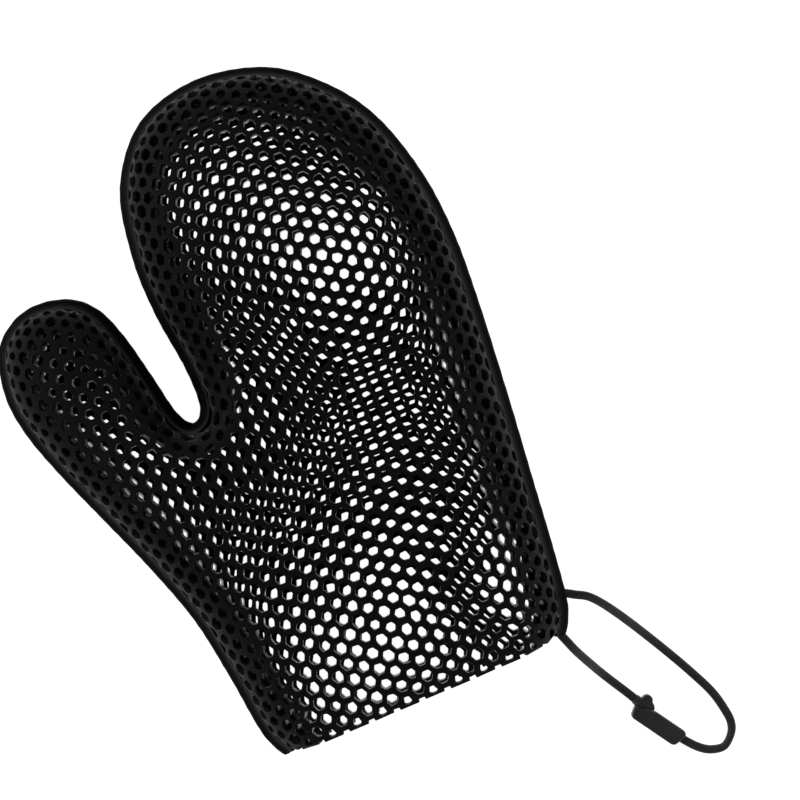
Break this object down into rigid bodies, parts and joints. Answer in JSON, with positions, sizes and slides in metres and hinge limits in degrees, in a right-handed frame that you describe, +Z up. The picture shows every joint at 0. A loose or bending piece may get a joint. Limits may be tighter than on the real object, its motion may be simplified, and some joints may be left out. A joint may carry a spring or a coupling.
{
  "type": "grooming glove",
  "caption": "Honeycomb bathing and grooming mitt for pets: two cellular elastomer sheets fused round a smooth rim, open at the cuff, with a cord wrist loop closed by a plug clasp.",
  "frame": {"origin": "centre of the mitt's footprint, without the cord loop, on the surface its palm lies on", "axes": "+Z up from the palm side to the back of the hand, +Y from the cuff towards the fingertips, -X towards the thumb"},
  "size_m": [0.2158, 0.3303, 0.04],
  "materials": {
    "back_sheet": "satin black elastomer honeycomb",
    "palm_sheet": "satin black elastomer honeycomb",
    "fused_rim": "smooth melt-fused elastomer",
    "cord": "charcoal braided cord",
    "cord_bead": "melted cord end",
    "clasp": "moulded charcoal plastic",
    "plug": "moulded charcoal plastic"
  },
  "bodies": {
    "mitt": {"back_panel": "back_sheet", "palm_panel": "palm_sheet", "edge_weld": "fused_rim", "cord_inner_run": "cord"},
    "loop": {"cord_long_run": "cord", "cord_short_run": "cord", "clasp_body": "clasp", "cord_end_bead": "cord_bead"},
    "plug": {"clasp_plug": "plug", "cord_plug_end": "cord"}
  },
  "joints": [
    {"name": "loop_swing", "type": "hinge", "parent": "mitt", "child": "loop", "pos_m": [0.07154, -0.13311, 0.02], "axis": [-0.5183, -0.8552, 0], "range_deg": [0, 95]},
    {"name": "plug_pull", "type": "slide", "parent": "loop", "child": "plug", "axis": [0.5962, 0.8028, 0], "range_m": [0, 0.006], "deforming": ["cord_short_run"]}
  ]
}
